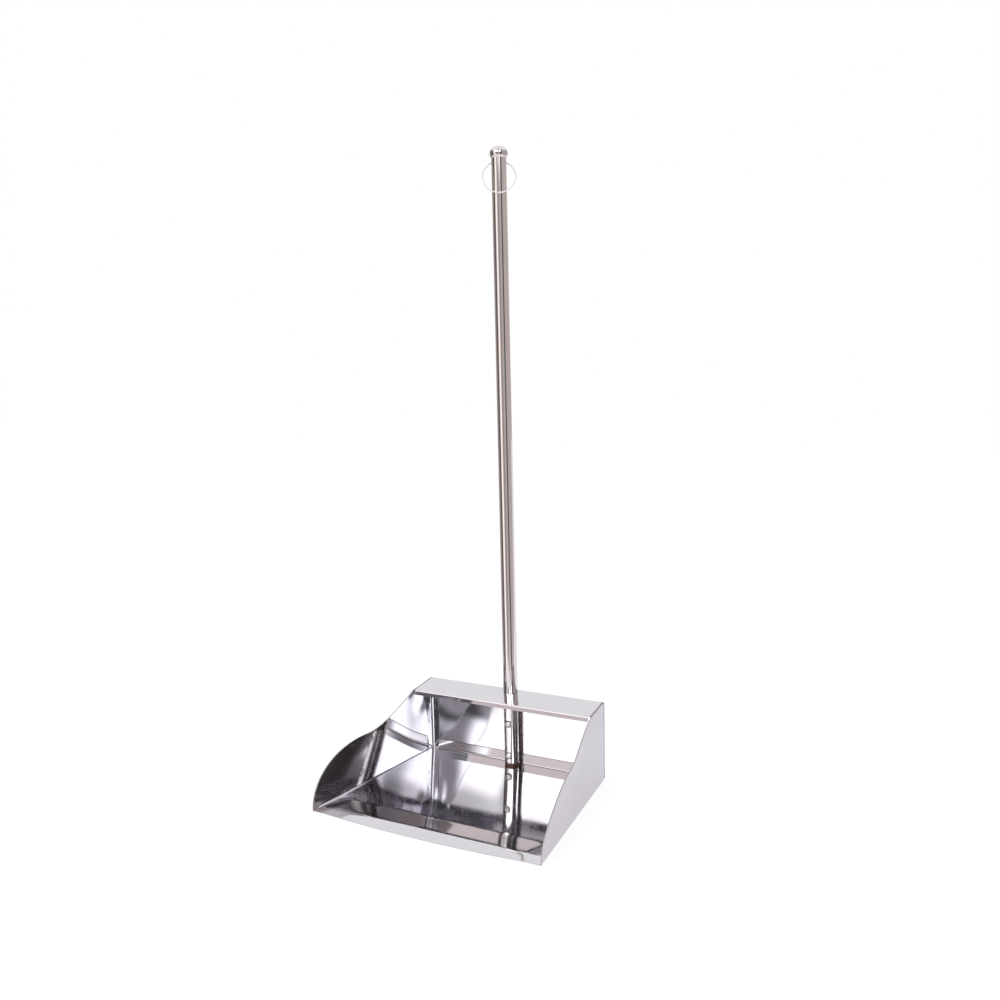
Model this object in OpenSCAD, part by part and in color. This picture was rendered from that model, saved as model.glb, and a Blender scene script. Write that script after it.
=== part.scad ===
// Lobby dustpan: a pan of folded sheet steel with an upright tube handle.
// Lengths are in millimetres and angles in degrees.
// X runs across the pan, Y to the rear, Z up, from the middle of the underside.

/* [Pan] */
// Width across the pan at the back
back_w = 252; // [200:1:320]
// Width across the pan at its front corners
front_w = 287; // [230:1:360]
// Depth of the pan from the back to the front corners
pan_depth = 248; // [210:1:320]
// Height of the back at the edge of the top strip
back_h = 102; // [85:1:140]
// Forward lean of the back and of the handle
back_lean = 4.2; // [0:0.1:8]
// Thickness of the sheet
sheet_t = 0.8; // [0.5:0.1:1.2]

/* [Top strip] */
// Depth of the top strip
strip_depth = 50; // [40:1:70]
// Fall of the top strip towards the front
strip_fall = 7.2; // [4.2:0.1:10]
// Height of the lip that is folded down at the front of the strip
strip_lip_h = 6.5; // [4:0.5:12]
// Height of the tabs that are folded down inside the sides
strip_tab_h = 8; // [5:0.5:14]
// Outer radius of the folds round the strip
strip_bend = 3; // [2:0.1:5]

/* [Side panels] */
// Height of the shoulder, where the nose of a side begins
shoulder_h = 63; // [45:1:75]
// Distance from the back to the shoulder
shoulder_run = 150; // [120:1:170]
// Outward lean of a side at its front end
front_splay = 4.3; // [0:0.1:8]
// Width of the flange at the rear of a side
side_flange_w = 10; // [7:0.5:18]
// Outer radius of the fold between a side and its flange
side_bend = 3; // [2:0.1:5]
// Height of the blunt tip at the front of a side
side_tip_h = 1.6; // [1:0.1:4]
// Drop of a side's upper edge below the face of the strip
side_edge_drop = 0.8; // [0.5:0.1:2]

/* [Floor] */
// Distance from the front corners back to the crease where the ridge begins
crease_run = 47; // [35:1:70]
// Distance from the front corners back to the crest of the ridge
crest_run = 10; // [5:1:20]
// Rise of the ridge above the floor
ridge_h = 3; // [1.5:0.1:5]
// Bow of the front edge at its middle
lip_bow = 6; // [0:0.5:12]
// Height of the flange at the rear of the floor
floor_flange_h = 13; // [8:0.5:20]
// Outer radius of the fold at the rear of the floor
floor_bend = 2; // [1.6:0.1:4]

/* [Handle] */
// Outside diameter of the tube
tube_d = 19; // [16:0.1:25]
// Wall of the tube
tube_wall = 0.8; // [0.6:0.1:1.5]
// Distance along the handle from the ground to the top of the tube
tube_top = 771; // [600:1:900]
// Distance along the handle from the ground to the lower end of the tube
tube_base = 6; // [4:0.5:10]
// Room round the tube in the hole of the top strip
strip_hole_gap = 0.5; // [0.3:0.1:1.5]
// Length of the foot plug inside the tube
foot_plug_len = 18; // [10:1:30]

/* [Finial and hang ring] */
// Widest diameter of the ball
ball_d = 22.8; // [20:0.1:30]
// Full height of the flattened ball, before its seat is cut
ball_h = 17.4; // [15:0.1:20]
// Length of the spigot below the ball
spigot_len = 14; // [12:0.5:30]
// Distance from the top of the tube down to the ring's holes
ring_hole_drop = 5; // [4.2:0.1:8]
// Diameter of the ring's holes
ring_hole_d = 3.6; // [3.2:0.1:5]
// Turn of the ring's holes about the handle, from straight across the pan
ring_turn = 26; // [-90:1:90]
// Diameter of the ring at the middle of its wire
ring_d = 40; // [36:0.5:60]
// Diameter of the ring's wire
ring_wire_d = 1.6; // [1.2:0.1:2.2]

/* [Handle screws] */
// Diameter of the screws
screw_d = 5; // [4:0.1:6]
// Distance along the handle from the ground to the lower screw
screw_low = 16.5; // [12:0.5:20]
// Distance between the screws
screw_pitch = 43.5; // [30:0.5:60]
// Diameter of a screw's head
screw_head_d = 10; // [8:0.1:12]
// Height of a screw's head
screw_head_h = 3.2; // [2.5:0.1:4.5]
// Width of a slot in the cross of a head
cross_w = 1.2; // [0.8:0.1:1.6]
// Length of a slot in the cross of a head
cross_len = 5; // [3:0.1:6]
// Depth of the cross of a head
cross_depth = 1.4; // [0.8:0.1:2]
// Outside diameter of a washer
washer_d = 10; // [9:0.1:14]
// Thickness of a washer
washer_t = 1; // [0.6:0.1:2]
// Width across the flats of a nut
nut_af = 8; // [7:0.1:10]
// Height of a nut
nut_h = 4; // [3:0.1:6]
// Length of screw that stands out of its nut
screw_proud = 1.4; // [0.5:0.1:4]

/* [Hidden] */
// Gap between fixed pieces that touch
fit_gap = 0.05;
// Gap along the edges of the floor
edge_gap = 0.1;
// Gap between the strip's tabs and the sides
tab_gap = 0.3;
// Gap between the back's lower edge and the ground
back_clear = 0.4;
// Room round a screw in its holes
screw_gap = 0.1;
// Room between the hang ring and what it rests on
ring_gap = 0.3;
// Overrun of every cut
over = 1;
// Steps in a fold
fold_steps = 6;
// Steps along the strip, the brow and the nose of a side
strip_steps = 4;
brow_steps = 12;
nose_steps = 16;
// Steps along the bowed front edge
bow_steps = 24;
// Where the brow of a side would turn a corner, as a share of its run
brow_corner_share = 0.74;
// How sharply the brow turns there, as a share of the way to the corner
brow_pull_share = 0.85;
$fn = 64;

back_y = pan_depth / 2;
front_y = -pan_depth / 2;
tube_r = tube_d / 2;
screw_high = screw_low + screw_pitch;
steel = [0.82, 0.82, 0.84];

// Places in the leaning frame of the back: [distance behind its rear face, distance up it]
back_len = back_h / cos(back_lean);
strip_turn = strip_fall - back_lean;
tube_axis = -sheet_t - fit_gap - tube_r;
strip_front = strip_depth * cos(strip_turn);

function along(p) = back_y + p[0] * cos(back_lean) - p[1] * sin(back_lean);
function height(p) = p[0] * sin(back_lean) + p[1] * cos(back_lean);
function arc(c, r, a0, a1) =
    [for (i = [0:fold_steps]) let (a = a0 + (a1 - a0) * i / fold_steps) c + r * [cos(a), sin(a)]];
function backwards(list) = [for (i = [len(list) - 1:-1:0]) list[i]];

// Places of the flanges that lie on the front of the back, at the ground
lap_y = back_y - (sheet_t + fit_gap) / cos(back_lean);
lap_slope = tan(back_lean);

// Shape of a side: its foot runs straight, and its wall leans in under the strip and out at the front
foot_flare = (front_w - back_w) / 2;
strip_share = (back_y - along([-strip_front, back_len - strip_front * tan(strip_turn)])) / pan_depth;
strip_front_h = height([-strip_front, back_len - strip_front * tan(strip_turn)]);
strip_lean = -foot_flare * strip_share / strip_front_h;
splay_lean = tan(front_splay);

function run_share(y) = (back_y - y) / pan_depth;
function foot_x(y) = back_w / 2 + foot_flare * run_share(y);
function eased_lean(t) =
    let (span = 1 - strip_share)
    (2 * t^3 - 3 * t^2 + 1) * strip_lean
    + (t^3 - 2 * t^2 + t) * span * strip_lean / strip_share
    + (3 * t^2 - 2 * t^3) * splay_lean;
function wall_lean(u) =
    u < strip_share ? strip_lean * u / strip_share : eased_lean((u - strip_share) / (1 - strip_share));
function wall_x(y, z) = foot_x(y) + wall_lean(run_share(y)) * z;

// Upper edge of a side: under the strip, down the brow, and round the nose, as [y, z]
function strip_edge(q, drop) =
    let (p = [-q, back_len - q * tan(strip_turn) - drop]) [along(p), height(p)];
brow_start = strip_edge(strip_front, side_edge_drop);
brow_end = [back_y - shoulder_run, shoulder_h];
brow_corner = [brow_start[0] + (brow_end[0] - brow_start[0]) * brow_corner_share, shoulder_h];
brow_out = brow_start + (brow_corner - brow_start) * brow_pull_share;
brow_in = brow_end + (brow_corner - brow_end) * brow_pull_share;
function brow(t) =
    (1 - t)^3 * brow_start + 3 * (1 - t)^2 * t * brow_out + 3 * (1 - t) * t^2 * brow_in + t^3 * brow_end;
function nose(a) =
    [brow_end[0] - (brow_end[0] - front_y) * sin(a), side_tip_h + (shoulder_h - side_tip_h) * cos(a)];

// Rulings of a side, each from the ground to the upper edge, as [[y, z], [y, z]]
strip_bend_run = strip_bend * (1 + sin(strip_turn)) + fit_gap;
rear_run = sheet_t + fit_gap + side_bend;
function leaning_ruling(q, drop) = [[back_y - q / cos(back_lean), 0], strip_edge(q, drop)];
function fanned_ruling(top) =
    let (foot_start = back_y - strip_front / cos(back_lean))
    let (share = (top[0] - brow_start[0]) / (front_y - brow_start[0]))
    [[foot_start + (front_y - foot_start) * share, 0], top];
first_run = max(strip_bend_run, rear_run + fit_gap);
wall_rulings = concat(
    [leaning_ruling(rear_run, max(side_edge_drop, strip_bend_run + fit_gap - rear_run))],
    [for (i = [0:strip_steps])
        leaning_ruling(first_run + (strip_front - first_run) * i / strip_steps, side_edge_drop)],
    [for (i = [1:brow_steps]) fanned_ruling(brow(i / brow_steps))],
    [for (i = [1:nose_steps]) fanned_ruling(nose(90 * i / nose_steps))]);

// A ruling as the four corners of the sheet: outer foot, outer top, inner top, inner foot
function wall_section(ruling) = [
    for (side = [0, 1]) for (end = side == 0 ? [0, 1] : [1, 0])
        let (p = ruling[end]) [wall_x(p[0], p[1]) - side * sheet_t, p[0], p[1]]];
// The same for a place on the rear flange, at x and at a depth in front of the back
function flange_section(outer, inner) =
    let (top = back_len - strip_bend - fit_gap)
    let (rise = height([0, top]))
    [for (p = [[outer, 0], [outer, rise], [inner, rise], [inner, 0]])
        [p[0][0], lap_y - p[0][1] - p[1] * lap_slope, p[1]]];
fold_x = back_w / 2 - side_bend;
flange_sections = concat(
    [flange_section([back_w / 2 - side_flange_w, 0], [back_w / 2 - side_flange_w, sheet_t])],
    [for (i = [0:fold_steps - 1])
        let (a = 90 * i / fold_steps, inside = side_bend - sheet_t)
        flange_section(
            [fold_x + side_bend * sin(a), side_bend - side_bend * cos(a)],
            [fold_x + inside * sin(a), side_bend - inside * cos(a)])]);

module loft(sections) {
    n = len(sections);
    corners = len(sections[0]);
    points = [for (s = sections) each s];
    walls = [for (i = [0:n - 2]) for (j = [0:corners - 1])
        let (a = i * corners + j, b = i * corners + (j + 1) % corners)
        each [[a, a + corners, b], [b, a + corners, b + corners]]];
    ends = [[for (j = [0:corners - 1]) j], [for (j = [corners - 1:-1:0]) (n - 1) * corners + j]];
    polyhedron(points, concat(walls, ends), convexity = 4);
}

module side_panel() {
    color(steel) loft(concat(flange_sections, [for (r = wall_rulings) wall_section(r)]));
}

module left_side_panel() {
    mirror([1, 0, 0]) side_panel();
}

module right_side_panel() {
    side_panel();
}

module across(w) {
    rotate([90, 0, 90]) linear_extrude(w, center = true) children();
}

module leaning() {
    translate([0, back_y, 0]) rotate([back_lean, 0, 0]) children();
}

// Floor: a lip, a ridge, the flat and a flange at the rear, folded from one sheet
fold_c = [lap_y - floor_bend * (1 + sin(back_lean)) / cos(back_lean), floor_bend];
flange_rise = (floor_flange_h - floor_bend * (1 + sin(back_lean))) / cos(back_lean);
flange_up = [-sin(back_lean), cos(back_lean)] * flange_rise;
floor_under = [[front_y - lip_bow, 0], [front_y + crest_run, ridge_h], [front_y + crease_run, 0]];
fold_under = arc(fold_c, floor_bend, -90, back_lean);
fold_over = arc(fold_c, floor_bend - sheet_t, -90, back_lean);
floor_profile = concat(
    floor_under, fold_under, [fold_under[fold_steps] + flange_up],
    [fold_over[fold_steps] + flange_up], backwards(fold_over),
    backwards([for (p = floor_under) p + [0, sheet_t]]));

function floor_edge(y) = foot_x(y) - sheet_t - edge_gap;
corner_y = lap_y - side_bend - edge_gap;
flange_half = back_w / 2 - side_flange_w - edge_gap;
floor_half_outline = concat(
    [[0, back_y], [flange_half, back_y], [flange_half, corner_y], [floor_edge(corner_y), corner_y]],
    [for (i = [bow_steps:-1:0])
        let (s = i / bow_steps) [floor_edge(front_y) * s, front_y - lip_bow * (1 - s^2)]]);
notch_depth = lap_y - fold_c[0] + edge_gap;
notch_half = sqrt(max(0, tube_r^2 - max(0, tube_r - notch_depth)^2)) + edge_gap;

module floor_plate() {
    color(steel) difference() {
        intersection() {
            across(front_w) polygon(floor_profile);
            translate([0, 0, -over]) linear_extrude(floor_flange_h + 2 * over)
                polygon(concat(floor_half_outline,
                    [for (p = backwards(floor_half_outline)) if (p[0] > 0) [-p[0], p[1]]]));
        }
        translate([-notch_half, fold_c[0] - edge_gap, -over])
            cube([2 * notch_half, notch_depth + over, floor_flange_h + 2 * over]);
    }
}

// Back: a wall, the top strip and the strip's folded edges, in the leaning frame
strip_dir = [-cos(strip_turn), -sin(strip_turn)];
strip_up = [-sin(strip_turn), cos(strip_turn)];
top_fold_c = [-strip_bend, back_len - strip_bend];
top_fold_out = arc(top_fold_c, strip_bend, 0, 90 + strip_turn);
top_fold_in = arc(top_fold_c, strip_bend - sheet_t, 0, 90 + strip_turn);
strip_flat = strip_depth - strip_bend * (1 + tan((90 + strip_turn) / 2));
tab_start = max(0, rear_run + fit_gap - strip_bend);
lip_fold_c = top_fold_c + strip_dir * strip_flat;
lip_fold_out = arc(lip_fold_c, strip_bend, 90 + strip_turn, 180 + strip_turn);
lip_fold_in = arc(lip_fold_c, strip_bend - sheet_t, 90 + strip_turn, 180 + strip_turn);
lip_down = -strip_up * max(0, strip_lip_h - strip_bend);
wall_profile = concat(
    [[0, back_clear]], top_fold_out, backwards(top_fold_in), [[-sheet_t, back_clear]]);
strip_profile = concat(
    [top_fold_out[fold_steps]], lip_fold_out, [lip_fold_out[fold_steps] + lip_down],
    [lip_fold_in[fold_steps] + lip_down], backwards(lip_fold_in), [top_fold_in[fold_steps]]);
strip_half = back_w / 2 - sheet_t - tab_gap - strip_bend;
strip_hole_axis = tube_axis - strip_hole_gap + fit_gap / 2;

module tab_profile() {
    difference() {
        circle(r = strip_bend);
        circle(r = strip_bend - sheet_t);
        translate([-strip_bend - over, -strip_bend - over])
            square([strip_bend + over, 2 * (strip_bend + over)]);
        translate([-strip_bend - over, -strip_bend - over])
            square([2 * (strip_bend + over), strip_bend + over]);
    }
    translate([strip_bend - sheet_t, strip_bend - strip_tab_h])
        square([sheet_t, strip_tab_h - strip_bend]);
    translate([-sheet_t, strip_bend - sheet_t]) square(sheet_t);
}

module strip_tab() {
    translate([strip_half, top_fold_c[0], top_fold_c[1]]) rotate([strip_turn, 0, 0])
        translate([0, -tab_start, 0]) rotate([90, 0, 0])
            linear_extrude(strip_flat - tab_start - edge_gap) tab_profile();
}

module screw_places() {
    for (z = [screw_low, screw_high]) translate([0, 0, z]) children();
}

module back_panel() {
    color(steel) leaning() difference() {
        union() {
            across(back_w) polygon(wall_profile);
            across(2 * strip_half) polygon(strip_profile);
            strip_tab();
            mirror([1, 0, 0]) strip_tab();
        }
        translate([0, strip_hole_axis, back_len - strip_bend])
            cylinder(r = tube_r + strip_hole_gap, h = back_h);
        screw_places() translate([0, over, 0]) rotate([90, 0, 0])
            cylinder(d = screw_d + 2 * screw_gap, h = sheet_t + 2 * over);
    }
}

// Handle: the tube stands against the back, drilled for the screws and the hang ring
module in_tube() {
    leaning() translate([0, tube_axis, 0]) children();
}

module screw_bores() {
    screw_places() rotate([90, 0, 0])
        cylinder(d = screw_d + 2 * screw_gap, h = tube_d + 2 * over, center = true);
}

module handle_tube() {
    color(steel) in_tube() difference() {
        translate([0, 0, tube_base]) cylinder(d = tube_d, h = tube_top - tube_base);
        translate([0, 0, tube_base - over])
            cylinder(d = tube_d - 2 * tube_wall, h = tube_top - tube_base + 2 * over);
        screw_bores();
        translate([0, 0, tube_top - ring_hole_drop]) rotate([0, 90, ring_turn])
            cylinder(d = ring_hole_d, h = tube_d + 2 * over, center = true);
    }
}

plug_d = tube_d - 2 * tube_wall - 2 * fit_gap;

module foot_plug() {
    color([0.36, 0.2, 0.13]) difference() {
        in_tube() difference() {
            union() {
                cylinder(d = tube_d, h = tube_base - fit_gap);
                cylinder(d = plug_d, h = tube_base + foot_plug_len);
            }
            screw_bores();
        }
        translate([-tube_d, back_y - 2 * tube_d, sheet_t + fit_gap - tube_d])
            cube([2 * tube_d, 2 * tube_d, tube_d]);
    }
}

// Finial: a flattened ball on a spigot, drilled across where the ring passes
ball_round = ball_h / 2;
ball_flat = (ball_d - ball_h) / 2;
seat_drop = sqrt(max(0, ball_round^2 - (tube_r - ball_flat)^2));
wire_r = ring_wire_d / 2;
ring_r = ring_d / 2;
ring_chord = tube_r - tube_wall / 2;
ring_reach = sqrt(ring_r^2 - ring_chord^2);
ring_sweep = ring_r - ring_reach + wire_r + ring_gap;

module ball_finial() {
    color(steel) in_tube() translate([0, 0, tube_top]) difference() {
        union() {
            rotate_extrude() intersection() {
                translate([0, seat_drop]) {
                    translate([ball_flat, 0]) circle(r = ball_round);
                    translate([0, -ball_round]) square([ball_flat, ball_h]);
                }
                translate([0, fit_gap]) square([ball_d, ball_h + seat_drop]);
            }
            translate([0, 0, -spigot_len]) cylinder(d = plug_d, h = spigot_len + seat_drop);
        }
        translate([0, 0, -ring_hole_drop]) rotate([0, 90, ring_turn])
            cylinder(r = ring_sweep, h = tube_d + 2 * over, center = true);
    }
}

// Hang ring: it passes through the tube's two holes and rests on the front of the tube
ring_tilt = asin((tube_r + wire_r + ring_gap) / (ring_reach + ring_r));

module hang_ring() {
    color([0.93, 0.93, 0.92]) in_tube() translate([0, 0, tube_top - ring_hole_drop])
        rotate([-ring_tilt, 0, ring_turn]) translate([0, 0, -ring_reach]) rotate([90, 0, 0])
            rotate_extrude() translate([ring_r, 0]) circle(r = wire_r);
}

// Screws: each passes through the tube and the back into a washer and a nut
head_round = ((screw_head_d / 2)^2 + screw_head_h^2) / (2 * screw_head_h);
head_y = tube_axis - tube_r - fit_gap;
washer_y = fit_gap;
nut_y = washer_y + washer_t + fit_gap;
screw_len = nut_y + nut_h + screw_proud - head_y;

module to_rear(z, y) {
    leaning() translate([0, y, z]) rotate([-90, 0, 0]) children();
}

module cross_slot() {
    cube([cross_len, cross_w, 2 * cross_depth], center = true);
}

module screw(z) {
    color(steel) to_rear(z, head_y) difference() {
        union() {
            cylinder(d = screw_d, h = screw_len);
            intersection() {
                translate([0, 0, head_round - screw_head_h]) sphere(r = head_round);
                translate([0, 0, -screw_head_h]) cylinder(d = screw_head_d, h = screw_head_h);
            }
        }
        translate([0, 0, -screw_head_h]) {
            cross_slot();
            rotate([0, 0, 90]) cross_slot();
        }
    }
}

module washer(z) {
    color(steel) to_rear(z, washer_y) difference() {
        cylinder(d = washer_d, h = washer_t);
        translate([0, 0, -over]) cylinder(d = screw_d + 2 * screw_gap, h = washer_t + 2 * over);
    }
}

module nut(z) {
    color(steel) to_rear(z, nut_y) difference() {
        cylinder(d = nut_af / cos(30), h = nut_h, $fn = 6);
        translate([0, 0, -over]) cylinder(d = screw_d + 2 * fit_gap, h = nut_h + 2 * over);
    }
}

module upper_screw() {
    screw(screw_high);
}

module lower_screw() {
    screw(screw_low);
}

module upper_washer() {
    washer(screw_high);
}

module lower_washer() {
    washer(screw_low);
}

module upper_nut() {
    nut(screw_high);
}

module lower_nut() {
    nut(screw_low);
}

floor_plate();
back_panel();
left_side_panel();
right_side_panel();
handle_tube();
foot_plug();
ball_finial();
hang_ring();
upper_screw();
lower_screw();
upper_washer();
lower_washer();
upper_nut();
lower_nut();
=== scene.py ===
"""Lobby dustpan of polished sheet steel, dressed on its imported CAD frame."""
import math

import bmesh
import bpy
import numpy as np
from mathutils import Matrix, Vector


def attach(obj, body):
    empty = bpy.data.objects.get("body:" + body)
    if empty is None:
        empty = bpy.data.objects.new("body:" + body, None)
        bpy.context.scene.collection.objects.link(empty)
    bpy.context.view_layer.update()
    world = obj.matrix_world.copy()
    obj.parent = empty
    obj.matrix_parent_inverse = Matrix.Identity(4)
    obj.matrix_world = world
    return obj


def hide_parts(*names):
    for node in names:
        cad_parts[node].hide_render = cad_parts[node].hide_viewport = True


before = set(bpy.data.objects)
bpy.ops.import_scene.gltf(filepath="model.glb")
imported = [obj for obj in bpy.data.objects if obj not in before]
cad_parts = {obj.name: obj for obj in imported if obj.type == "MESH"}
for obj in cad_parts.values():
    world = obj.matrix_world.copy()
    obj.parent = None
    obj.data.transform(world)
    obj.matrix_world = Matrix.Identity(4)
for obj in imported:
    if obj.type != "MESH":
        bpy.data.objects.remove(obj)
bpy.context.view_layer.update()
scene = bpy.context.scene
scene.view_settings.view_transform = "Standard"

# Light bounces, enough for sheets that mirror each other
scene.cycles.glossy_bounces = 8
scene.cycles.max_bounces = 12

# Sizes of the CAD source, in millimetres and degrees
MM = 0.001
BACK_W = 252.0
FRONT_W = 287.0
PAN_DEPTH = 248.0
BACK_H = 102.0
LEAN = math.radians(4.2)
SHEET_T = 0.8
STRIP_DEPTH = 50.0
STRIP_FALL = math.radians(7.2)
STRIP_LIP_H = 6.5
STRIP_TAB_H = 8.0
STRIP_BEND = 3.0
SHOULDER_H = 63.0
SHOULDER_RUN = 150.0
FRONT_SPLAY = math.radians(4.3)
SIDE_FLANGE_W = 10.0
SIDE_BEND = 3.0
SIDE_TIP_H = 1.6
SIDE_EDGE_DROP = 0.8
BROW_CORNER_SHARE = 0.74
BROW_PULL_SHARE = 0.85
CREASE_RUN = 47.0
CREST_RUN = 10.0
RIDGE_H = 3.0
LIP_BOW = 6.0
FLOOR_FLANGE_H = 13.0
TUBE_R = 9.5
STRIP_HOLE_GAP = 0.5
FIT_GAP = 0.05
EDGE_GAP = 0.1
TAB_GAP = 0.3
BACK_CLEAR = 0.4

# Places that follow from these sizes
BACK_Y = PAN_DEPTH / 2
FRONT_Y = -PAN_DEPTH / 2
CREST_Y = FRONT_Y + CREST_RUN
CREASE_Y = FRONT_Y + CREASE_RUN
BACK_LEN = BACK_H / math.cos(LEAN)
STRIP_TURN = STRIP_FALL - LEAN
STRIP_FRONT = STRIP_DEPTH * math.cos(STRIP_TURN)
FOOT_FLARE = (FRONT_W - BACK_W) / 2
LAP_Y = BACK_Y - (SHEET_T + FIT_GAP) / math.cos(LEAN)
TUBE_AXIS = -SHEET_T - FIT_GAP - TUBE_R

# Edges of more than this angle stay sharp
SHARP_ANGLE = math.radians(32)

# Name of the mark on the cut edges of a sheet
EDGE_MARK = "sheet_edge"


# Helpers for points
def along(p):
    """Y of a point of the leaning frame of the back, [behind its rear face, up it]."""
    return BACK_Y + p[0] * math.cos(LEAN) - p[1] * math.sin(LEAN)


def height(p):
    """Z of a point of the leaning frame of the back."""
    return p[0] * math.sin(LEAN) + p[1] * math.cos(LEAN)


def arc(centre, radius, start, end, steps):
    """Points on an arc, angles in degrees."""
    angles = np.radians(np.linspace(start, end, steps + 1))
    return [np.array(centre) + radius * np.array([math.cos(a), math.sin(a)]) for a in angles]


def spread(marks, steps):
    """Places through some marks, with a number of even steps between each two."""
    parts = [np.linspace(a, b, count + 1)[:-1] for a, b, count in zip(marks, marks[1:], steps)]
    return np.concatenate(parts + [marks[-1:]])


# Helpers for meshes
def smooth(mesh):
    """Smooth shading, apart from sharp edges."""
    mesh.polygons.foreach_set("use_smooth", [True] * len(mesh.polygons))
    mesh.set_sharp_from_angle(angle=SHARP_ANGLE)
    mesh.update()


def sheet_object(name, outer, inner, keep):
    """Closed sheet between two grids of points in millimetres; keep marks the cells that exist."""
    rows, columns = outer.shape[:2]
    count = rows * columns
    index = np.arange(count).reshape(rows, columns)
    faces = []
    for i, j in zip(*np.nonzero(keep)):
        a, b, c, d = index[i, j], index[i, j + 1], index[i + 1, j + 1], index[i + 1, j]
        faces += [(a, b, c, d), (d + count, c + count, b + count, a + count)]
        for step_i, step_j, p, q in ((-1, 0, a, b), (0, 1, b, c), (1, 0, c, d), (0, -1, d, a)):
            next_i, next_j = i + step_i, j + step_j
            inside = 0 <= next_i < rows - 1 and 0 <= next_j < columns - 1
            if not (inside and keep[next_i, next_j]):
                faces.append((q, p, p + count, q + count))
    points = np.concatenate([outer.reshape(-1, 3), inner.reshape(-1, 3)]) * MM
    mesh = bpy.data.meshes.new(name)
    mesh.from_pydata(points.tolist(), [], [tuple(int(k) for k in f) for f in faces])
    bm = bmesh.new()
    bm.from_mesh(mesh)
    bmesh.ops.delete(bm, geom=[v for v in bm.verts if not v.link_faces], context="VERTS")
    bmesh.ops.recalc_face_normals(bm, faces=bm.faces)
    bm.to_mesh(mesh)
    bm.free()
    obj = bpy.data.objects.new(name, mesh)
    scene.collection.objects.link(obj)
    smooth(mesh)
    return obj


def mark_edge(mesh):
    """Marks the faces that join the two faces of a whole sheet, each with half of the vertices."""
    half = len(mesh.vertices) // 2
    marks = [float(min(f.vertices) < half <= max(f.vertices)) for f in mesh.polygons]
    mesh.attributes.new(EDGE_MARK, "FLOAT", "FACE").data.foreach_set("value", marks)


def stand_for(obj, node, material, body="dustpan"):
    """A new piece in the place of a CAD node."""
    obj.data.materials.clear()
    obj.data.materials.append(material)
    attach(obj, body)
    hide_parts(node)
    return obj


# Side panels
STRIP_END = [-STRIP_FRONT, BACK_LEN - STRIP_FRONT * math.tan(STRIP_TURN)]
STRIP_END_SHARE = (BACK_Y - along(STRIP_END)) / PAN_DEPTH
STRIP_LEAN = -FOOT_FLARE * STRIP_END_SHARE / height(STRIP_END)
SPLAY_LEAN = math.tan(FRONT_SPLAY)
REAR_RUN = SHEET_T + FIT_GAP + SIDE_BEND
STRIP_BEND_RUN = STRIP_BEND * (1 + math.sin(STRIP_TURN)) + FIT_GAP

# Hem along the upper edge: thickness, width, longest share of a ruling, length of its ends
HEM_T = 0.7
HEM_W = 5.0
HEM_MOST_SHARE = 0.4
HEM_FADE = 8.0

# Weld marks on the rear flange, and a dent high on the left wall
WELD_HEIGHTS = (37.0, 60.0)
WELD_INSET = 5.2
WELD_REACH = 4.0
WELD_RISE = 0.12
WELD_R = 1.5
DENT_DEPTH = 1.3
DENT_R = 10.0
DENT_RUN = 34.0
DENT_Z = 74.0

# Steps of the mesh
SIDE_FLANGE_STEPS = 14
SIDE_FOLD_STEPS = 12
STRIP_RULINGS = 22
BROW_STEPS = 40
NOSE_STEPS = 48
WALL_ROWS = 56
HEM_SHARES = np.array([0.06, 0.12, 0.3, 0.6, 1.0])
HEM_RISE = np.concatenate([np.zeros(WALL_ROWS), np.clip(HEM_SHARES / HEM_SHARES[1], 0, 1)])


def foot_x(y):
    """Half width of the pan at its foot, at a depth."""
    return BACK_W / 2 + FOOT_FLARE * (BACK_Y - y) / PAN_DEPTH


def wall_lean(y):
    """Lean of a side's wall at a depth: inwards under the strip, outwards at the front."""
    share = (BACK_Y - y) / PAN_DEPTH
    if share < STRIP_END_SHARE:
        return STRIP_LEAN * share / STRIP_END_SHARE
    span = 1 - STRIP_END_SHARE
    t = (share - STRIP_END_SHARE) / span
    return ((2 * t**3 - 3 * t**2 + 1) * STRIP_LEAN
            + (t**3 - 2 * t**2 + t) * span * STRIP_LEAN / STRIP_END_SHARE
            + (3 * t**2 - 2 * t**3) * SPLAY_LEAN)


def strip_edge(run, drop):
    """Point of the upper edge under the strip, as [y, z]."""
    p = [-run, BACK_LEN - run * math.tan(STRIP_TURN) - drop]
    return np.array([along(p), height(p)])


def upper_edge(start, end):
    """Points of the upper edge in front of the strip: an S to the shoulder and a round nose."""
    corner = np.array([start[0] + (end[0] - start[0]) * BROW_CORNER_SHARE, SHOULDER_H])
    out = start + (corner - start) * BROW_PULL_SHARE
    back = end + (corner - end) * BROW_PULL_SHARE
    points = []
    for t in np.linspace(0, 1, BROW_STEPS + 1)[1:]:
        s = 1 - t
        points.append(s**3 * start + 3 * s**2 * t * out + 3 * s * t**2 * back + t**3 * end)
    for turn in np.radians(np.linspace(0, 90, NOSE_STEPS + 1)[1:]):
        y = end[0] - (end[0] - FRONT_Y) * math.sin(turn)
        z = SIDE_TIP_H + (SHOULDER_H - SIDE_TIP_H) * math.cos(turn)
        points.append(np.array([y, z]))
    return points


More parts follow.
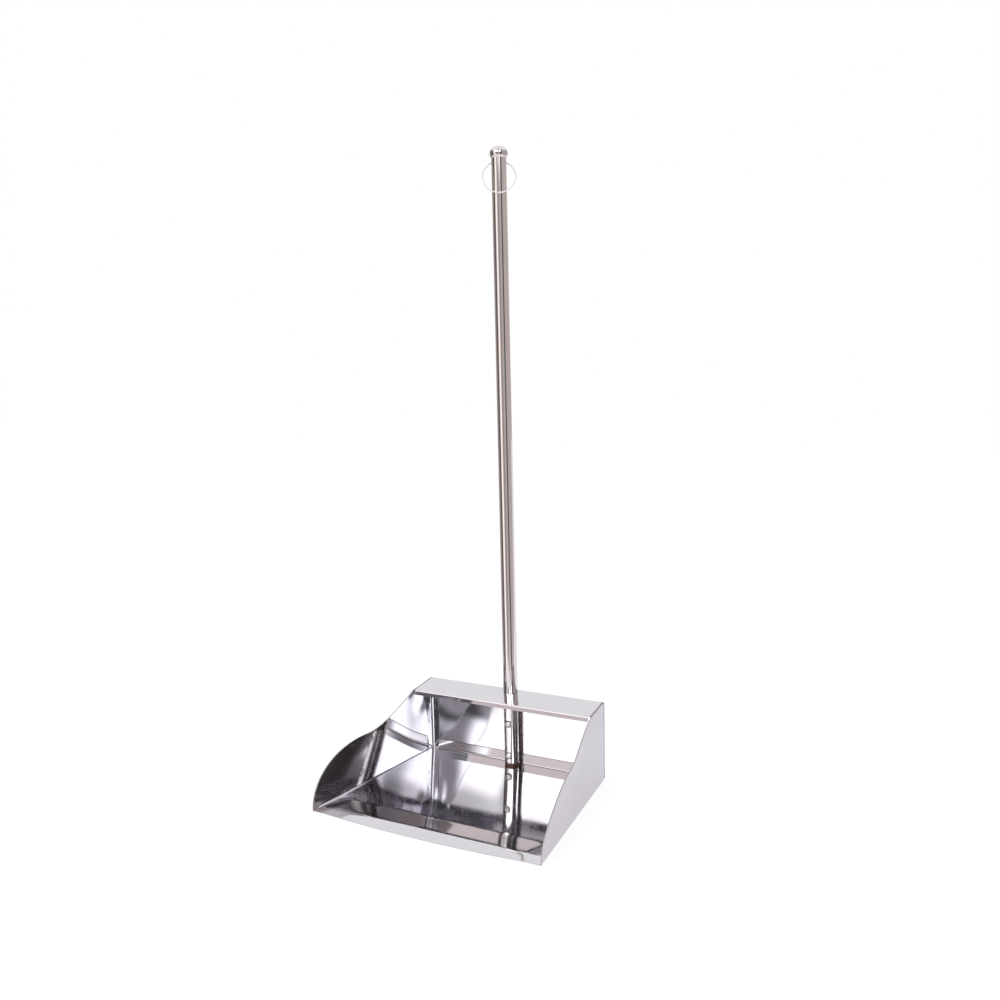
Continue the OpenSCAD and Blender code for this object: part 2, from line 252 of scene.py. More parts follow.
def side_rulings():
    """Rulings of a side from its foot to its upper edge, from rear to front, as pairs of [y, z]."""
    places = [(REAR_RUN, max(SIDE_EDGE_DROP, STRIP_BEND_RUN + FIT_GAP - REAR_RUN))]
    first_run = max(STRIP_BEND_RUN, REAR_RUN + FIT_GAP)
    places += [(run, SIDE_EDGE_DROP) for run in np.linspace(first_run, STRIP_FRONT, STRIP_RULINGS)]
    rulings = []
    for run, drop in places:
        rulings.append((np.array([BACK_Y - run / math.cos(LEAN), 0.0]), strip_edge(run, drop)))
    start = strip_edge(STRIP_FRONT, SIDE_EDGE_DROP)
    end = np.array([BACK_Y - SHOULDER_RUN, SHOULDER_H])
    foot_start = BACK_Y - STRIP_FRONT / math.cos(LEAN)
    for top in upper_edge(start, end):
        share = (top[0] - start[0]) / (FRONT_Y - start[0])
        rulings.append((np.array([foot_start + (FRONT_Y - foot_start) * share, 0.0]), top))
    return rulings


def ruling_rows(length):
    """Places along a ruling, as shares of its length: even on the wall, closer on the hem."""
    share = min(HEM_W / length, HEM_MOST_SHARE)
    return np.concatenate([np.linspace(0, 1 - share, WALL_ROWS), 1 - share * (1 - HEM_SHARES)])


def press_welds(grid):
    """Two shallow weld marks on the rear flange."""
    for weld_z in WELD_HEIGHTS:
        gap = np.hypot(grid[..., 0] - (BACK_W / 2 - WELD_INSET), grid[..., 2] - weld_z)
        near = np.abs(grid[..., 1] - LAP_Y + weld_z * math.tan(LEAN)) < WELD_REACH
        grid[..., 1] += np.where(near, WELD_RISE * np.exp(-(gap / WELD_R)**2), 0)


def press_dent(grid):
    """A shallow dent inwards, high on the wall."""
    gap = np.hypot(grid[..., 1] - (BACK_Y - DENT_RUN), grid[..., 2] - DENT_Z)
    grid[..., 0] -= DENT_DEPTH * np.exp(-(gap / DENT_R)**2 / 2)


def side_panel(name, hand):
    """One side: rear flange, fold and twisted wall; hand is 1 on the right and -1 on the left."""
    fold_x = BACK_W / 2 - SIDE_BEND
    fold_inside = SIDE_BEND - SHEET_T
    # Places across the flange and the fold, of the outer and the inner face: x, and how far ahead of the lap
    places = []
    for x in np.linspace(BACK_W / 2 - SIDE_FLANGE_W, fold_x, SIDE_FLANGE_STEPS + 1)[:-1]:
        places.append(((x, 0.0), (x, SHEET_T)))
    for turn in np.radians(np.linspace(0, 90, SIDE_FOLD_STEPS + 1)[:-1]):
        places.append(((fold_x + SIDE_BEND * math.sin(turn), SIDE_BEND * (1 - math.cos(turn))),
                       (fold_x + fold_inside * math.sin(turn), SIDE_BEND - fold_inside * math.cos(turn))))
    outer = []
    inner = []
    flange_h = height([0, BACK_LEN - STRIP_BEND - FIT_GAP])
    z = flange_h * ruling_rows(flange_h)
    for faces in places:
        for (x, ahead), grid in zip(faces, (outer, inner)):
            grid.append(np.stack([x + 0 * z, LAP_Y - ahead - z * math.tan(LEAN), z], 1))
    for foot, top in side_rulings():
        points = foot + np.outer(ruling_rows(math.dist(foot, top)), top - foot)
        x = np.array([foot_x(y) + wall_lean(y) * z for y, z in points])
        hem_start = np.clip((along(STRIP_END) - top[0]) / HEM_FADE, 0, 1)
        hem_end = np.clip(top[1] / HEM_FADE - 1, 0, 1)
        thickness = SHEET_T + HEM_T * hem_start * hem_end * HEM_RISE
        outer.append(np.column_stack([x, points]))
        inner.append(np.column_stack([x - thickness, points]))
    outer = np.array(outer)
    inner = np.array(inner)
    for grid in (outer, inner):
        press_welds(grid)
        if hand < 0:
            press_dent(grid)
        grid[..., 0] *= hand
    obj = sheet_object(name, outer, inner, np.ones((outer.shape[0] - 1, outer.shape[1] - 1), bool))
    mark_edge(obj.data)
    return obj


# Floor plate: radius of the rear fold, tilt of the flange, and the seams that roll up at the sides
FLOOR_FOLD_R = 1.8
FLANGE_TILT = math.radians(6.0)
SEAM_R = 2.0
SEAM_SHARE = 0.9

# Rounding of the ridge's crest and of the crease behind it, and where the crease's rounding begins
CREST_ROUND = 0.4
CREASE_ROUND = 0.2
CREASE_REACH = 20.0

# The ridge gets lower towards the sides
RIDGE_FADE = 22.0
RIDGE_END_SHARE = 0.3

# Steps of the mesh: across from the notch to the side, from the crest's band to the rear, and up the fold
NOTCH_STEPS = 3
FLANGE_COLUMNS = 45
SEAM_COLUMNS = 23
LIP_ROWS = 7
CREST_BAND = 4.0
CREASE_BAND = 6.0
FLOOR_ROWS = (8, 13, 12, 69)
FLOOR_FOLD_STEPS = 9
FLOOR_FLANGE_STEPS = 5


def floor_edge(y):
    """Half width of the floor at a depth."""
    return foot_x(y) - SHEET_T - EDGE_GAP


def ridge_height(y):
    """Height of the floor's underside at a depth, with the ridge and the crease rounded off."""
    lip = (y - (FRONT_Y - LIP_BOW)) * RIDGE_H / (CREST_RUN + LIP_BOW)
    fall = RIDGE_H - (y - CREST_Y) * RIDGE_H / (CREASE_RUN - CREST_RUN)
    ridge = -CREST_ROUND * math.log(math.exp(-lip / CREST_ROUND) + math.exp(-fall / CREST_ROUND))
    if y <= CREASE_Y - CREASE_REACH:
        return ridge
    return CREASE_ROUND * math.log(1 + math.exp(ridge / CREASE_ROUND))


def ridge_share(gap):
    """Share of the ridge's height that is left at a distance from the side."""
    t = np.clip(gap / RIDGE_FADE, 0, 1)
    return RIDGE_END_SHARE + (1 - RIDGE_END_SHARE) * t * t * (3 - 2 * t)


def floor_plate(name):
    """The floor: bowed lip, low ridge, flat and rear flange, with a notch for the tube."""
    corner_y = LAP_Y - SIDE_BEND - EDGE_GAP
    corner_half = floor_edge(corner_y)
    flange_half = BACK_W / 2 - SIDE_FLANGE_W - EDGE_GAP
    flange_top = LAP_Y - FLOOR_FLANGE_H * math.tan(LEAN) - FIT_GAP
    flange_rise = FLOOR_FLANGE_H - FLOOR_FOLD_R * (1 - math.sin(FLANGE_TILT))
    flange_up = np.array([math.tan(FLANGE_TILT), 1]) * flange_rise
    fold_centre = [flange_top - flange_up[0] - FLOOR_FOLD_R * math.cos(FLANGE_TILT), FLOOR_FOLD_R]
    notch_depth = LAP_Y - fold_centre[0] + EDGE_GAP
    notch_half = math.sqrt(TUBE_R**2 - (TUBE_R - notch_depth)**2) + EDGE_GAP
    marks = [0, notch_half, flange_half, corner_half]
    half = spread(marks, (NOTCH_STEPS, FLANGE_COLUMNS, SEAM_COLUMNS)) / corner_half
    share = np.concatenate([-half[::-1], half[1:]])
    outer = []
    inner = []
    # Lip, from its bowed front edge to the crest
    front = FRONT_Y - LIP_BOW * (1 - share**2)
    for k in range(LIP_ROWS):
        y = front + (CREST_Y - front) * k / LIP_ROWS
        edge = floor_edge(np.maximum(y, FRONT_Y))
        x = share * edge
        z = np.array([ridge_height(v) for v in y]) * ridge_share(edge - np.abs(x))
        outer.append(np.stack([x, y, z], 1))
        inner.append(np.stack([x, y, z + SHEET_T], 1))
    # Ridge and flat, with the seams at the sides
    marks = [CREST_Y, CREST_Y + CREST_BAND, CREASE_Y - CREASE_BAND, CREASE_Y + CREASE_BAND, corner_y]
    for y in spread(marks, FLOOR_ROWS):
        edge = floor_edge(y)
        x = share * edge
        over = np.clip(np.abs(x) - (edge - SEAM_R), 0, SEAM_R)
        seam = SEAM_R - np.sqrt(SEAM_R**2 - (SEAM_SHARE * over)**2)
        z = ridge_height(y) * ridge_share(edge - np.abs(x)) + seam
        outer.append(np.stack([x, y + 0 * x, z], 1))
        inner.append(np.stack([x, y + 0 * x, z + SHEET_T], 1))
    flat_rows = len(outer)
    # Rear fold and flange
    x = share * corner_half
    for radius, grid in ((FLOOR_FOLD_R, outer), (FLOOR_FOLD_R - SHEET_T, inner)):
        path = arc(fold_centre, radius, -90, -math.degrees(FLANGE_TILT), FLOOR_FOLD_STEPS)
        path += [path[-1] + flange_up * rise for rise in np.linspace(0, 1, FLOOR_FLANGE_STEPS + 1)[1:]]
        grid += [np.stack([x, y + 0 * x, z + 0 * x], 1) for y, z in path]
    middle = (np.abs(share[1:]) + np.abs(share[:-1])) * corner_half / 2
    keep = np.ones((len(outer) - 1, len(share) - 1), bool)
    keep[flat_rows - 1:] = (middle < flange_half) & (middle > notch_half)
    return sheet_object(name, np.array(outer), np.array(inner), keep)


# Back panel: bow of the rear wall, and a swell on its left, flat again behind the tube and at the edges
BACK_BOW = 0.55
SWELL = 0.9
SWELL_Z = 50.0
SWELL_R = 20.0
FLAT_R = 14.0
FLAT_POWER = 8

# Radius of the fold of the strip's front lip
LIP_BEND = 1.6

# Steps of the mesh
WALL_STEPS = 59
STRIP_FOLD_STEPS = 12
STRIP_STEPS = 23
LIP_FOLD_STEPS = 10
LIP_DROP_STEPS = 3
STRIP_COLUMNS = 112
TAB_FOLD_STEPS = 8
TAB_DROP_STEPS = 4
HOLE_SIDES = 96
CUTTER_LEN = 1.0

STRIP_INSIDE = STRIP_BEND - SHEET_T
STRIP_HALF = BACK_W / 2 - SHEET_T - TAB_GAP - STRIP_BEND
AHEAD = np.array([-math.cos(STRIP_TURN), -math.sin(STRIP_TURN)])
ABOVE = np.array([-math.sin(STRIP_TURN), math.cos(STRIP_TURN)])


def back_lines():
    """Lines across the back, from its foot to the strip's lip: outer point, inner point and kind."""
    turn = 90 + math.degrees(STRIP_TURN)
    fold_run = math.tan(math.radians(turn / 2))
    top_centre = np.array([-STRIP_BEND, BACK_LEN - STRIP_BEND])
    lines = []
    for z in np.linspace(BACK_CLEAR, BACK_LEN - STRIP_BEND, WALL_STEPS + 1)[:-1]:
        lines.append((np.array([0.0, z]), np.array([-SHEET_T, z]), "wall"))
    outside = arc(top_centre, STRIP_BEND, 0, turn, STRIP_FOLD_STEPS)
    inside = arc(top_centre, STRIP_INSIDE, 0, turn, STRIP_FOLD_STEPS)
    lines += [(p, q, "fold") for p, q in zip(outside, inside)]
    first_run = max(0.0, REAR_RUN + FIT_GAP - STRIP_BEND)
    last_run = STRIP_DEPTH - STRIP_BEND * (1 + fold_run) - EDGE_GAP
    for run in np.linspace(first_run, last_run, STRIP_STEPS + 1):
        p = top_centre + ABOVE * STRIP_BEND + AHEAD * run
        lines.append((p, p - ABOVE * SHEET_T, "strip"))
    lip_run = STRIP_DEPTH - STRIP_BEND - LIP_BEND * fold_run
    lip_centre = top_centre + AHEAD * lip_run + ABOVE * (STRIP_BEND - LIP_BEND)
    outside = arc(lip_centre, LIP_BEND, turn, 90 + turn, LIP_FOLD_STEPS)
    inside = arc(lip_centre, LIP_BEND - SHEET_T, turn, 90 + turn, LIP_FOLD_STEPS)
    drop = -ABOVE * (STRIP_LIP_H - LIP_BEND) / LIP_DROP_STEPS
    for step in range(1, LIP_DROP_STEPS + 1):
        outside.append(outside[LIP_FOLD_STEPS] + drop * step)
        inside.append(inside[LIP_FOLD_STEPS] + drop * step)
    lines += [(p, q, "lip") for p, q in zip(outside, inside)]
    return lines


def tab_columns(radius, start):
    """Columns of a tab at the strip's end: x, and drop below the strip's upper face, from a start."""
    turns = np.radians(np.linspace(0, 90, TAB_FOLD_STEPS + 1)[1:])
    drops = np.linspace(STRIP_BEND, STRIP_TAB_H, TAB_DROP_STEPS + 1)[1:]
    x = np.concatenate([STRIP_HALF + radius * np.sin(turns), STRIP_HALF + radius + 0 * drops])
    return x, np.concatenate([start + radius * (1 - np.cos(turns)), drops])


def wall_bend(x, z):
    """How far the rear wall stands to the rear of its plane."""
    rise = z / (BACK_LEN - STRIP_BEND)
    swell = SWELL * (0.5 - x / BACK_W) * math.exp(-((z - SWELL_Z) / SWELL_R)**2 / 2)
    clear = (1 - (x / (BACK_W / 2))**FLAT_POWER) * (1 - np.exp(-(x / FLAT_R)**2))
    return (BACK_BOW + swell) * 4 * rise * (1 - rise) * clear


def back_panel(name):
    """The rear wall, folded over into the top strip, its front lip and its end tabs."""
    lines = back_lines()
    side = TAB_FOLD_STEPS + TAB_DROP_STEPS
    strip_x = np.linspace(-STRIP_HALF, STRIP_HALF, STRIP_COLUMNS + 1)
    end_x = np.linspace(STRIP_HALF, BACK_W / 2, side + 1)[1:]
    wall_x = np.concatenate([-end_x[::-1], strip_x, end_x])
    grids = []
    # Outer and inner face: which point of a line, radius of the tabs' fold, depth below the upper face
    for face, radius, depth in ((0, STRIP_BEND, 0.0), (1, STRIP_INSIDE, SHEET_T)):
        tab_x, tab_drop = tab_columns(radius, depth)
        tabbed_x = np.concatenate([-tab_x[::-1], strip_x, tab_x])
        tabbed_drop = np.concatenate([tab_drop[::-1], 0 * strip_x + depth, tab_drop])
        rows = []
        for line in lines:
            x = wall_x
            points = np.repeat(line[face][None], len(wall_x), 0)
            if line[2] == "strip":
                x = tabbed_x
                points = line[0] - np.outer(tabbed_drop, ABOVE)
            elif line[2] == "wall":
                points[:, 0] += wall_bend(wall_x, line[0][1])
            rows.append(np.stack([x, along(points.T), height(points.T)], 1))
        grids.append(np.array(rows))
    keep = np.ones((len(lines) - 1, len(wall_x) - 1), bool)
    for i in range(len(lines) - 1):
        here, after = lines[i][2], lines[i + 1][2]
        if after == "lip" or (here == "fold" and after == "strip"):
            keep[i, :side] = False
            keep[i, -side:] = False
    obj = sheet_object(name, *grids, keep)
    cut_tube_hole(obj)
    return obj


def cut_tube_hole(obj):
    """The hole in the top strip for the tube."""
    radius = (TUBE_R + STRIP_HOLE_GAP) * MM
    bpy.ops.mesh.primitive_cylinder_add(vertices=HOLE_SIDES, radius=radius, depth=CUTTER_LEN)
    cutter = bpy.context.object
    hole_axis = (TUBE_AXIS - STRIP_HOLE_GAP + FIT_GAP / 2) * MM
    middle = (BACK_LEN - STRIP_BEND) * MM + CUTTER_LEN / 2
    foot = Matrix.Translation((0, BACK_Y * MM, 0))
    cutter.matrix_world = foot @ Matrix.Rotation(LEAN, 4, "X") @ Matrix.Translation((0, hole_axis, middle))
    bpy.context.view_layer.update()
    cut = obj.modifiers.new("hole", "BOOLEAN")
    cut.operation = "DIFFERENCE"
    cut.solver = "EXACT"
    cut.object = cutter
    graph = bpy.context.evaluated_depsgraph_get()
    made = bpy.data.meshes.new_from_object(obj.evaluated_get(graph))
    obj.modifiers.clear()
    whole = obj.data
    obj.data = made
    bpy.data.meshes.remove(whole)
    made.name = obj.name
    bpy.data.objects.remove(cutter)
    smooth(made)


# Materials
class Nodes:
    """A node tree with short ways to build it."""

    def __init__(self, tree):
        self.tree = tree
        tree.nodes.clear()

    def add(self, kind, _settings=None, **inputs):
        """A new node; an input has its socket's name, with _ for a blank, or i and its number."""
        node = self.tree.nodes.new(kind)
        for key, value in (_settings or {}).items():
            setattr(node, key, value)
        for key, value in inputs.items():
            self.put(node, key.replace("_", " "), value)
        return node

    def put(self, node, key, value):
        """Links a socket to an input, or sets the input's value."""
        numbered = key[0] == "i" and key[1:].isdigit()
        socket = node.inputs[int(key[1:])] if numbered else node.inputs[key]
        if isinstance(value, bpy.types.NodeSocket):
            self.tree.links.new(value, socket)
        else:
            socket.default_value = value

    def math(self, operation, a, b=0.0):
        return self.add("ShaderNodeMath", {"operation": operation}, i0=a, i1=b).outputs[0]

    def noise(self, coords, scale, detail, roughness):
        node = self.add("ShaderNodeTexNoise", Vector=coords, Scale=scale, Detail=detail, Roughness=roughness)
        return node.outputs["Fac"]

    def scaled(self, coords, scale):
        node = self.add("ShaderNodeMapping", {"vector_type": "POINT"}, Vector=coords, Scale=scale)
        return node.outputs[0]

    def ramp(self, value, low, high, to_low=0.0, to_high=1.0):
        """A soft step from one value to another."""
        node = self.add("ShaderNodeMapRange", {"interpolation_type": "SMOOTHSTEP"}, i0=value, i1=low, i2=high,
                        i3=to_low, i4=to_high)
        return node.outputs[0]

    def mix(self, factor, a, b, label=""):
        """A mix of two colours."""
        node = self.add("ShaderNodeMix", {"data_type": "RGBA", "label": label}, i0=factor, i6=a, i7=b)
        return node.outputs[2]


def new_material(name):
    """A material and its empty node tree."""
    made = bpy.data.materials.new(name)
    made.use_nodes = True
    return made, Nodes(made.node_tree)


# Roughness of clean and smudged steel, of scratches and of a sheet's cut edge, and the edge's colour
CLEAN_ROUGH = 0.055
SMUDGED_ROUGH = 0.08
SCRATCH_ROUGH = 0.01
EDGE_ROUGH = 0.4
EDGE_GREY = (0.40, 0.39, 0.40, 1)

# Scratches are this much coarser than the polishing lines, and the lines this deep, in metres
SCRATCH_GRAIN_SHARE = 0.35
GRAIN_DEPTH = 0.0004

# Clouds in plastic are this much coarser than its grain, and the grain shows with this strength
CLOUD_SHARE = 0.15
PLASTIC_BUMP = 0.2
PLASTIC_IOR = 1.49


def polished_steel(name, tint, worn, grain, smudge_scale=14.0, dull=0.0, relief=0.0015):
    """Mirror-polished steel: polishing lines, faint smudges, hairline scratches and duller cut edges."""
    made, nodes = new_material(name)
    coords = nodes.add("ShaderNodeTexCoord").outputs["Object"]
    smudge = nodes.noise(coords, smudge_scale, detail=5.0, roughness=0.6)
    lines = nodes.noise(nodes.scaled(coords, grain), scale=1.0, detail=4.0, roughness=0.7)
    scratch_grain = [g * SCRATCH_GRAIN_SHARE for g in grain]
    hair = nodes.noise(nodes.scaled(coords, scratch_grain), scale=1.0, detail=2.0, roughness=0.4)
    scratch = nodes.ramp(hair, low=0.66, high=0.72)
    edge = nodes.add("ShaderNodeAttribute", {"attribute_name": EDGE_MARK}).outputs["Fac"]
    rough = nodes.ramp(smudge, 0.35, 0.75, to_low=dull + CLEAN_ROUGH, to_high=dull + SMUDGED_ROUGH)
    rough = nodes.math("ADD", rough, nodes.math("MULTIPLY", scratch, SCRATCH_ROUGH))
    rough = nodes.math("ADD", rough, nodes.math("MULTIPLY", edge, EDGE_ROUGH))
    colour = nodes.mix(nodes.ramp(smudge, low=0.3, high=0.8), (*tint, 1), (*worn, 1))
    colour = nodes.mix(edge, colour, EDGE_GREY)
    bump = nodes.add("ShaderNodeBump", Height=lines, Strength=relief, Distance=GRAIN_DEPTH)
    shader = nodes.add("ShaderNodeBsdfPrincipled", Base_Color=colour, Metallic=1.0, Roughness=rough,
                       Normal=bump.outputs[0])
    nodes.add("ShaderNodeOutputMaterial", Surface=shader.outputs[0])
    return made


def moulded_plastic(name, low, high, smooth_rough, dull_rough, grain_scale, grain_depth):
    """Moulded plastic: mottled colour, fine grain and uneven gloss."""
    made, nodes = new_material(name)
    coords = nodes.add("ShaderNodeTexCoord").outputs["Object"]
    cloud = nodes.noise(coords, grain_scale * CLOUD_SHARE, detail=4.0, roughness=0.6)
    grain = nodes.noise(coords, grain_scale, detail=3.0, roughness=0.6)
    colour = nodes.mix(nodes.ramp(cloud, low=0.3, high=0.7), (*low, 1), (*high, 1))
    rough = nodes.ramp(cloud, 0.3, 0.7, to_low=smooth_rough, to_high=dull_rough)
    bump = nodes.add("ShaderNodeBump", Height=grain, Strength=PLASTIC_BUMP, Distance=grain_depth)
    shader = nodes.add("ShaderNodeBsdfPrincipled", Base_Color=colour, IOR=PLASTIC_IOR, Roughness=rough,
                       Normal=bump.outputs[0])
    nodes.add("ShaderNodeOutputMaterial", Surface=shader.outputs[0])
    return made


sheet_steel = polished_steel("pan_sheet_steel", tint=(0.625, 0.615, 0.64), worn=(0.605, 0.595, 0.62),
                             grain=(90, 2200, 2200), relief=0.0002)
tube_steel = polished_steel("tube_steel", tint=(0.80, 0.775, 0.775), worn=(0.77, 0.745, 0.745),
                            grain=(1800, 1800, 60), relief=0.0003)
finial_steel = polished_steel("finial_steel", tint=(0.68, 0.655, 0.66), worn=(0.65, 0.62, 0.62),
                              grain=(300, 300, 2600), smudge_scale=60.0, relief=0.0003)
fastener_steel = polished_steel("fastener_steel", tint=(0.90, 0.89, 0.90), worn=(0.84, 0.83, 0.84),
                                grain=(900, 900, 900), smudge_scale=160.0, dull=0.36)
ring_plastic = moulded_plastic("ring_plastic", low=(0.70, 0.71, 0.70), high=(0.75, 0.76, 0.75),
                               smooth_rough=0.22, dull_rough=0.34, grain_scale=900.0, grain_depth=0.00005)
foot_plastic = moulded_plastic("foot_plastic", low=(0.10, 0.045, 0.03), high=(0.16, 0.075, 0.05),
                               smooth_rough=0.35, dull_rough=0.5, grain_scale=1500.0, grain_depth=0.0001)

# Pieces: four sheets in the place of their CAD nodes, and the other nodes with their materials
stand_for(floor_plate("floor_sheet"), "floor_plate", sheet_steel)
stand_for(back_panel("back_sheet"), "back_panel", sheet_steel)
stand_for(side_panel("left_side_sheet", -1), "left_side_panel", sheet_steel)
stand_for(side_panel("right_side_sheet", 1), "right_side_panel", sheet_steel)

LOOKS = {
    "handle_tube": tube_steel,
    "ball_finial": finial_steel,
    "hang_ring": ring_plastic,
    "foot_plug": foot_plastic,
    "upper_screw": fastener_steel,
    "lower_screw": fastener_steel,
    "upper_washer": fastener_steel,
    "lower_washer": fastener_steel,
    "upper_nut": fastener_steel,
    "lower_nut": fastener_steel,
}
for node, look in LOOKS.items():
    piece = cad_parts[node]
    piece.data.materials.clear()
    piece.data.materials.append(look)

# Camera, from the photo's fitted view: place in millimetres, turns, and focal length as a share of the width
CAMERA_PLACE = Vector((481.2, -925.5, 439.7)) * MM
YAW = math.radians(25.81)
PITCH = math.radians(4.393)
ROLL = math.radians(0.512)
FOCAL_SHARE = 0.8848
SENSOR_W = 36.0
back = Vector((math.sin(YAW) * math.cos(PITCH), -math.cos(YAW) * math.cos(PITCH), math.sin(PITCH)))
right = Vector((math.cos(YAW), math.sin(YAW), 0))
up = back.cross(right)
rolled_right = right * math.cos(ROLL) + up * math.sin(ROLL)
rolled_up = up * math.cos(ROLL) - right * math.sin(ROLL)
camera = bpy.data.objects.new("camera", bpy.data.cameras.new("camera"))
camera.data.sensor_width = SENSOR_W
camera.data.lens = SENSOR_W * FOCAL_SHARE
facing = Matrix((rolled_right, rolled_up, back)).transposed().to_4x4()
camera.matrix_world = Matrix.Translation(CAMERA_PLACE) @ facing
scene.collection.objects.link(camera)
bpy.context.scene.camera = camera

# Studio floor: white, with the object's soft shadow; the steel mirrors it only near the object
FLOOR_SIZE = 40.0
FLOOR_DROP = 0.0003
FLOOR_GLOW = 0.78
FLOOR_GREY = 0.30
MIRRORED_WHITE = (0.84, 0.80, 0.86, 1)
MIRRORED_FRONT = -0.27
MIRRORED_SLOPE = 0.9
MIRRORED_SOFT = 0.03
WHITE = (1, 1, 1, 1)
bpy.ops.mesh.primitive_plane_add(size=FLOOR_SIZE, location=(0, 0, -FLOOR_DROP))
ground = bpy.context.object
ground.name = "studio_floor"
floor_look, nodes = new_material("studio_floor")
mirrored = nodes.add("ShaderNodeLightPath").outputs["Is Glossy Ray"]
glow = nodes.add("ShaderNodeEmission", Color=nodes.mix(mirrored, WHITE, MIRRORED_WHITE), Strength=FLOOR_GLOW)
lit = nodes.add("ShaderNodeBsdfDiffuse", Color=(FLOOR_GREY, FLOOR_GREY, FLOOR_GREY, 1))
white_floor = nodes.add("ShaderNodeAddShader", i0=glow.outputs[0], i1=lit.outputs[0])
spot = nodes.add("ShaderNodeSeparateXYZ", Vector=nodes.add("ShaderNodeNewGeometry").outputs["Position"])
slope = nodes.math("MULTIPLY", nodes.math("ABSOLUTE", spot.outputs[0]), MIRRORED_SLOPE)
past_limit = nodes.math("SUBTRACT", spot.outputs[1], nodes.math("ADD", slope, MIRRORED_FRONT))
beyond = nodes.ramp(past_limit, -MIRRORED_SOFT, MIRRORED_SOFT, to_low=1.0, to_high=0.0)
unseen = nodes.math("MULTIPLY", beyond, mirrored)
look_through = nodes.add("ShaderNodeBsdfTransparent")
shown = nodes.add("ShaderNodeMixShader", i0=unseen, i1=white_floor.outputs[0], i2=look_through.outputs[0])
nodes.add("ShaderNodeOutputMaterial", Surface=shown.outputs[0])
ground.data.materials.append(floor_look)

# World: white to the camera, plain for diffuse light, and a studio with lamps for reflections
PLAIN_LIGHT = (0.85, 0.85, 0.85, 1)
STUDIO_WHITE = (1.10, 1.09, 1.10, 1)
DEGREES = 180 / math.pi

# Parts of the studio that the steel mirrors, each laid over those before it: name, azimuth from and to,
# in degrees from the front to the right, elevation from and to, softness of the sides, of the lower and
# of the upper edge, slant of the left edge, and colour
STUDIO = [
    ("room at the left", (-108, -38), (-26, 36), (14, 9, 8), 0, (0.33, 0.28, 0.265)),
    ("room at the front and the right", (-13, 170), (-26, 36), (8, 9, 8), 0, (0.54, 0.47, 0.445)),
    ("dark strip at the right", (45, 64), (-26, 32), (4, 9, 6), 0, (0.08, 0.07, 0.07)),
    ("darker middle, low", (-3, 17), (-26, 9), (5, 9, 2), 0, (0.34, 0.29, 0.28)),
    ("low lamp", (-36, -14), (-26, 10.5), (5, 9, 2), 0, (1.30, 1.16, 1.10)),
    ("warm wall above the left softbox", (-60, -8), (28.5, 60), (10, 3, 14), 0, (1.32, 1.18, 1.14)),
    ("left softbox", (-24.4, 9), (13.2, 28.5), (4, 1.8, 1.5), 1.0, (3.3, 3.25, 3.25)),
    ("right softbox", (9, 52), (10.5, 30.5), (5, 3, 2), 0, (4.5, 4.55, 4.6)),
    ("grey under the right softbox", (40, 62), (-26, 15), (2, 9, 1), 0, (0.42, 0.40, 0.43)),
    ("dark corner under the right softbox", (47, 62), (-26, 15), (3, 9, 1), 0, (0.08, 0.07, 0.07)),
    ("dark left end", (-70, -42), (-26, 20), (3, 9, 6), 0, (0.14, 0.12, 0.115)),
    ("dark band above the softboxes", (-6, 90), (31, 40), (6, 2, 4), 0, (0.45, 0.43, 0.45)),
    ("gap between the softboxes, low", (19, 32), (8, 25), (3.5, 3, 3), 0, (0.75, 0.72, 0.76)),
    ("gap between the softboxes, high", (26, 35), (22, 33), (4, 4, 2), 2.4, (0.14, 0.135, 0.15)),
    ("grey above the gap", (8, 36), (28.3, 31.5), (6, 1.2, 1.5), 0, (1.05, 1.02, 1.06)),
]

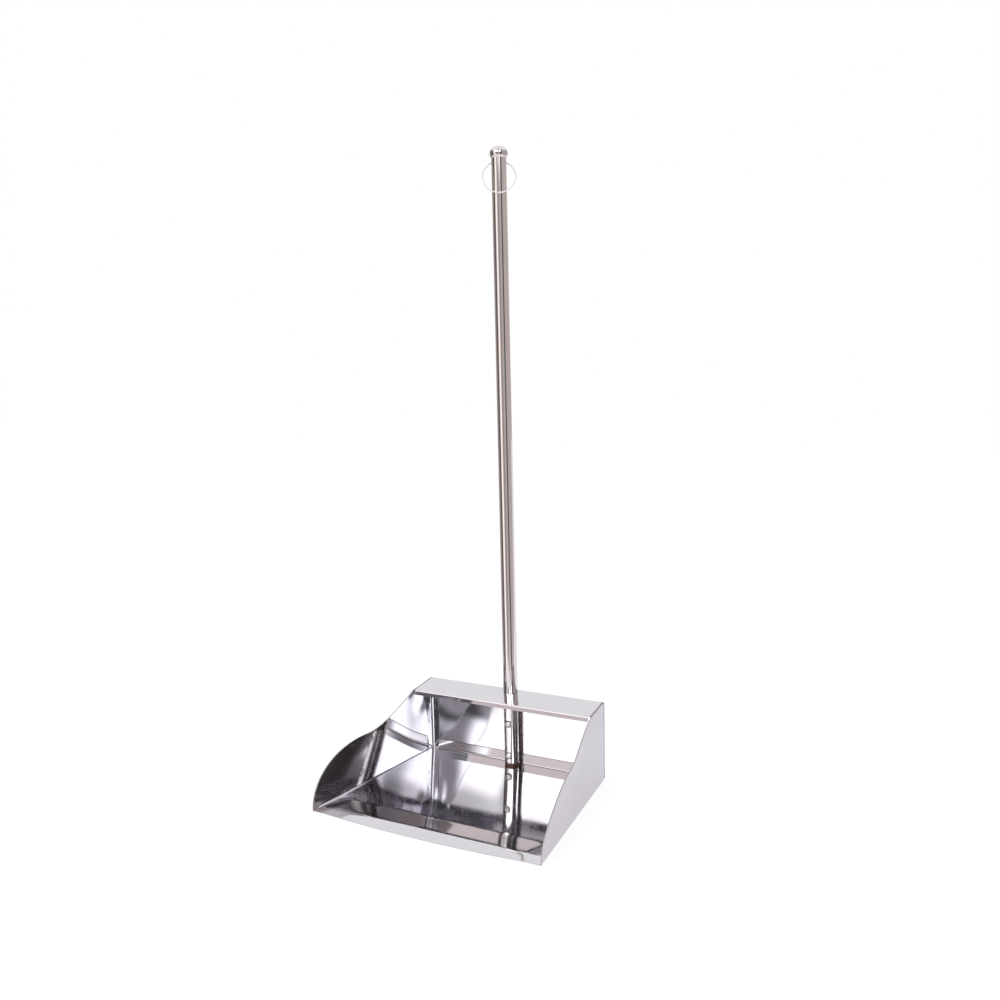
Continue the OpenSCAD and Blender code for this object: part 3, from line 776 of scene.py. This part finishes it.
scene.world = bpy.data.worlds.new("studio")
scene.world.use_nodes = True
nodes = Nodes(scene.world.node_tree)
split = nodes.add("ShaderNodeSeparateXYZ", Vector=nodes.add("ShaderNodeTexCoord").outputs["Generated"])
forward = nodes.math("MULTIPLY", split.outputs[1], -1.0)
azimuth = nodes.math("MULTIPLY", nodes.math("ARCTAN2", split.outputs[0], forward), DEGREES)
elevation = nodes.math("MULTIPLY", nodes.math("ARCSINE", split.outputs[2]), DEGREES)


def zone(azimuths, elevations, softness, slant):
    """1 inside a soft-edged part of the studio, 0 outside."""
    left, right = azimuths
    low, high = elevations
    side_soft, low_soft, high_soft = softness
    slanted = nodes.math("MULTIPLY", nodes.math("SUBTRACT", elevation, low), slant)
    from_left = nodes.ramp(nodes.math("ADD", azimuth, slanted), left - side_soft, left + side_soft)
    to_right = nodes.ramp(azimuth, right - side_soft, right + side_soft, to_low=1.0, to_high=0.0)
    from_low = nodes.ramp(elevation, low - low_soft, low + low_soft)
    to_high = nodes.ramp(elevation, high - high_soft, high + high_soft, to_low=1.0, to_high=0.0)
    sides = nodes.math("MULTIPLY", from_left, to_right)
    return nodes.math("MULTIPLY", sides, nodes.math("MULTIPLY", from_low, to_high))


studio = STUDIO_WHITE
for label, azimuths, elevations, softness, slant, colour in STUDIO:
    studio = nodes.mix(zone(azimuths, elevations, softness, slant), studio, (*colour, 1), label)
path = nodes.add("ShaderNodeLightPath")
plain = nodes.mix(path.outputs["Is Glossy Ray"], PLAIN_LIGHT, studio)
straight = nodes.math("MAXIMUM", path.outputs["Is Camera Ray"], path.outputs["Is Transmission Ray"])
background = nodes.add("ShaderNodeBackground", Color=nodes.mix(straight, plain, WHITE), Strength=1.0)
nodes.add("ShaderNodeOutputWorld", Surface=background.outputs[0])

# Key light for plain surfaces and for the shadow
KEY_SIZE = 1.6
KEY_POWER = 18.0
KEY_PLACE = Vector((-0.9, -1.2, 2.2))
KEY_AIM = Vector((0, 0, 0.2))
key = bpy.data.objects.new("key_light", bpy.data.lights.new("key_light", "AREA"))
key.data.shape = "DISK"
key.data.size = KEY_SIZE
key.data.energy = KEY_POWER
key.location = KEY_PLACE
key.rotation_mode = "QUATERNION"
key.rotation_quaternion = (KEY_AIM - KEY_PLACE).to_track_quat("-Z", "Y")
key.visible_glossy = False
scene.collection.objects.link(key)
